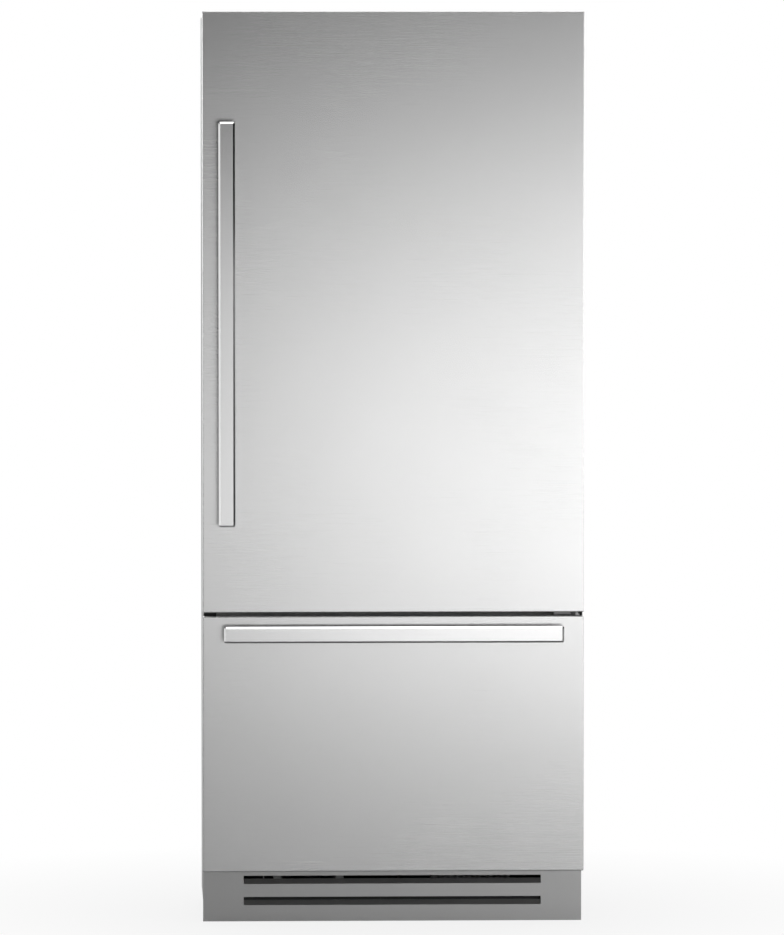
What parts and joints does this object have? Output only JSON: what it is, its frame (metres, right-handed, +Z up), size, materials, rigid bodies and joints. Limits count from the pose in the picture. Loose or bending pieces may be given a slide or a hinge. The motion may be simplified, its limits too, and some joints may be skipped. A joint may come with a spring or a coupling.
{
  "type": "built-in refrigerator",
  "caption": "Built-in bottom-mount refrigerator with brushed stainless door, freezer drawer, flat bar handles and a louvred toe-kick",
  "frame": {"origin": "on the floor, under the middle of the whole object", "axes": "+Z up, the front faces -Y, +X to the right of someone who faces the front"},
  "size_m": [0.908, 0.664, 2.177],
  "materials": {
    "stainless": "satin",
    "handle_steel": "satin",
    "case_paint": "satin",
    "zinc_steel": "satin",
    "hinge_steel": "satin",
    "foam": "matte",
    "liner_plastic": "satin",
    "gasket_rubber": "matte",
    "black_plastic": "matte",
    "clear_plastic": "gloss",
    "trim_plastic": "satin",
    "shelf_glass": "gloss",
    "coil_aluminium": "satin",
    "compressor_black": "satin",
    "foot_steel": "satin"
  },
  "bodies": {
    "cabinet": {"outer_case": "case_paint", "back_panel": "zinc_steel", "face_frame": "case_paint", "cabinet_foam": "foam", "fridge_liner": "liner_plastic", "freezer_liner": "liner_plastic", "base_pan": "zinc_steel", "toe_kick_grille": "stainless", "machine_cover": "zinc_steel", "top_hinge_plate": "hinge_steel", "centre_hinge_plate": "hinge_steel", "hinge_gap_cap": "black_plastic", "glass_shelves": "shelf_glass", "shelf_trims": "trim_plastic", "crisper_frame": "trim_plastic", "light_bars": "trim_plastic", "control_panel": "black_plastic", "air_duct": "liner_plastic", "evaporator": "coil_aluminium", "evaporator_cover": "liner_plastic", "fan_motors": "black_plastic", "compressor": "compressor_black", "compressor_grommets": "gasket_rubber", "condenser_coil": "coil_aluminium", "fan_shroud": "black_plastic", "drain_pan": "black_plastic", "roller_brackets": "zinc_steel", "roller_axles": "zinc_steel", "slide_cabinet_members": "zinc_steel", "anti_tip_brackets": "zinc_steel"},
    "door": {"door_panel": "stainless", "door_pan": "case_paint", "door_foam": "foam", "door_liner": "liner_plastic", "door_gasket": "gasket_rubber", "door_handle_bar": "handle_steel", "door_handle_posts": "handle_steel", "door_bin_lower": "clear_plastic", "door_bin_middle": "clear_plastic", "door_bin_upper": "clear_plastic", "door_bushes": "black_plastic"},
    "freezer_drawer": {"drawer_panel": "stainless", "drawer_pan": "case_paint", "drawer_foam": "foam", "drawer_liner": "liner_plastic", "drawer_gasket": "gasket_rubber", "drawer_handle_bar": "handle_steel", "drawer_handle_posts": "handle_steel", "drawer_side_rails": "zinc_steel", "freezer_bin": "clear_plastic"},
    "slide_middle": {"slide_middle_members": "zinc_steel"},
    "freezer_tray": {"freezer_tray": "clear_plastic"},
    "crisper_left": {"crisper_left": "clear_plastic"},
    "crisper_right": {"crisper_right": "clear_plastic"},
    "foot_left": {"foot_left": "foot_steel"},
    "foot_right": {"foot_right": "foot_steel"},
    "roller_left": {"roller_left": "black_plastic"},
    "roller_right": {"roller_right": "black_plastic"},
    "condenser_fan": {"condenser_fan": "black_plastic"},
    "evaporator_fan": {"evaporator_fan": "black_plastic"}
  },
  "joints": [
    {"name": "door_hinge", "type": "hinge", "parent": "cabinet", "child": "door", "pos_m": [0.436, -0.246, 1.4], "axis": [0, 0, 1], "range_deg": [0, 110]},
    {"name": "drawer_slide", "type": "slide", "parent": "cabinet", "child": "freezer_drawer", "axis": [0, -1, 0], "range_m": [0, 0.4]},
    {"name": "middle_slide", "type": "slide", "parent": "cabinet", "child": "slide_middle", "axis": [0, -1, 0], "range_m": [0, 0.2]},
    {"name": "tray_slide", "type": "slide", "parent": "freezer_drawer", "child": "freezer_tray", "axis": [0, 1, 0], "range_m": [0, 0.15]},
    {"name": "crisper_left_slide", "type": "slide", "parent": "cabinet", "child": "crisper_left", "axis": [0, -1, 0], "range_m": [0, 0.095]},
    {"name": "crisper_right_slide", "type": "slide", "parent": "cabinet", "child": "crisper_right", "axis": [0, -1, 0], "range_m": [0, 0.095]},
    {"name": "foot_left_screw", "type": "slide", "parent": "cabinet", "child": "foot_left", "axis": [0, 0, -1], "range_m": [0, 0.025]},
    {"name": "foot_right_screw", "type": "slide", "parent": "cabinet", "child": "foot_right", "axis": [0, 0, -1], "range_m": [0, 0.025]},
    {"name": "roller_left_spin", "type": "hinge", "parent": "cabinet", "child": "roller_left", "pos_m": [-0.381, 0.27, 0.02], "axis": [1, 0, 0], "continuous": true},
    {"name": "roller_right_spin", "type": "hinge", "parent": "cabinet", "child": "roller_right", "pos_m": [0.381, 0.27, 0.02], "axis": [1, 0, 0], "continuous": true},
    {"name": "condenser_fan_spin", "type": "hinge", "parent": "cabinet", "child": "condenser_fan", "pos_m": [0.06, 0.224, 0.1355], "axis": [1, 0, 0], "continuous": true},
    {"name": "evaporator_fan_spin", "type": "hinge", "parent": "cabinet", "child": "evaporator_fan", "pos_m": [0, 0.23, 0.6275], "axis": [0, -1, 0], "continuous": true}
  ],
  "couplings": [
    {"joint": "middle_slide", "follows": "drawer_slide", "ratio": 0.5}
  ]
}
